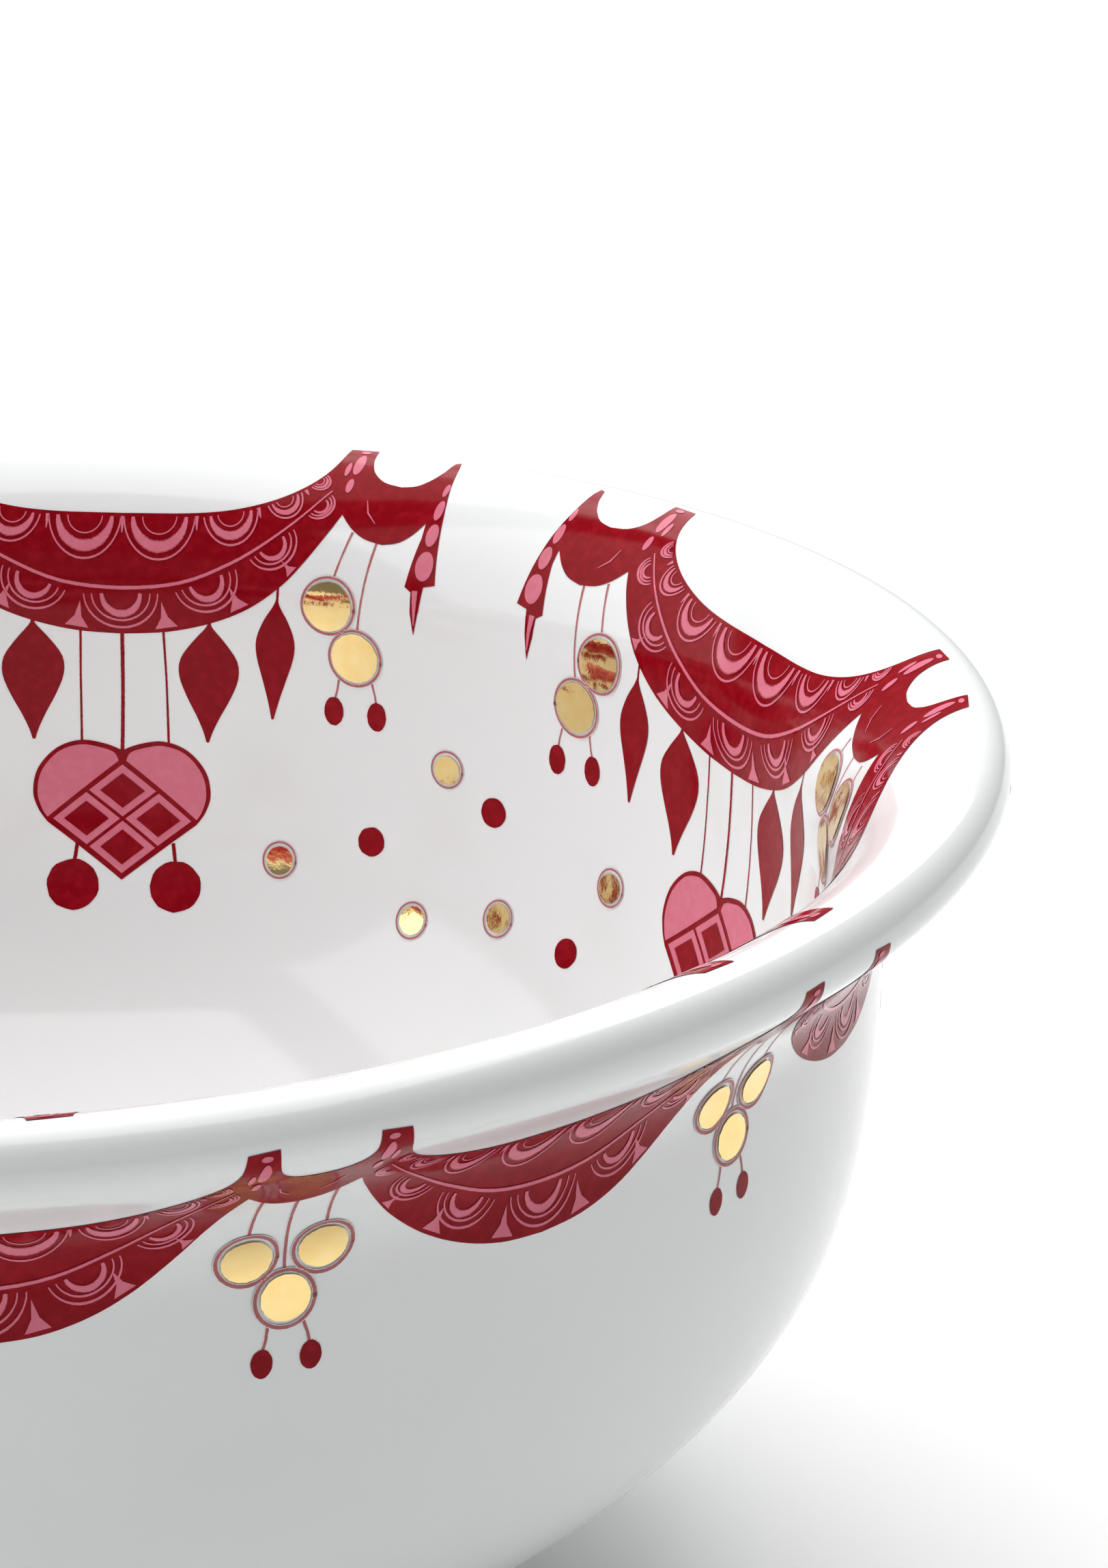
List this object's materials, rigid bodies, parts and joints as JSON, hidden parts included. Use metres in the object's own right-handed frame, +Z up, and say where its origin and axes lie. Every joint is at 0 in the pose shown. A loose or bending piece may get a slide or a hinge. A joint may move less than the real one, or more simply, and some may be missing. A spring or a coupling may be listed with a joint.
{
  "type": "bowl",
  "caption": "Round glazed porcelain serving bowl with a flared rolled lip and foot ring, printed swags and fired-on gilt spots",
  "frame": {"origin": "middle of the foot ring's resting face, on the ground", "axes": "+Z is up, along the bowl's axis of turning; the wider gap between the inside swags lies at 55 degrees from +X towards +Y"},
  "size_m": [0.15, 0.15, 0.068],
  "materials": {
    "white_glaze": "glossy clear glaze over white porcelain",
    "bright_gold": "mirror-bright fired gold with slightly ragged edges",
    "red_print": "red and pink print under clear glaze"
  },
  "bodies": {
    "root": {"bowl_body": "white_glaze", "outer_gilt_trio_1": "bright_gold", "outer_gilt_trio_2": "bright_gold", "outer_gilt_trio_3": "bright_gold", "outer_gilt_trio_4": "bright_gold", "outer_gilt_trio_5": "bright_gold", "outer_gilt_trio_6": "bright_gold", "outer_gilt_trio_7": "bright_gold", "outer_gilt_trio_8": "bright_gold", "outer_gilt_trio_9": "bright_gold", "outer_gilt_trio_10": "bright_gold", "outer_gilt_trio_11": "bright_gold", "outer_gilt_trio_12": "bright_gold", "inner_gilt_trio_1": "bright_gold", "inner_gilt_trio_2": "bright_gold", "inner_gilt_trio_3": "bright_gold", "inner_gilt_trio_4": "bright_gold", "inner_gilt_trio_5": "bright_gold", "inner_gilt_trio_6": "bright_gold", "inner_gilt_trio_7": "bright_gold", "inner_gilt_pair_left": "bright_gold", "inner_gilt_pair_right": "bright_gold", "inner_gilt_dot_1": "bright_gold", "inner_gilt_dot_2": "bright_gold", "inner_gilt_dot_3": "bright_gold", "inner_gilt_dot_4": "bright_gold", "inner_gilt_dot_5": "bright_gold"}
  },
  "joints": []
}
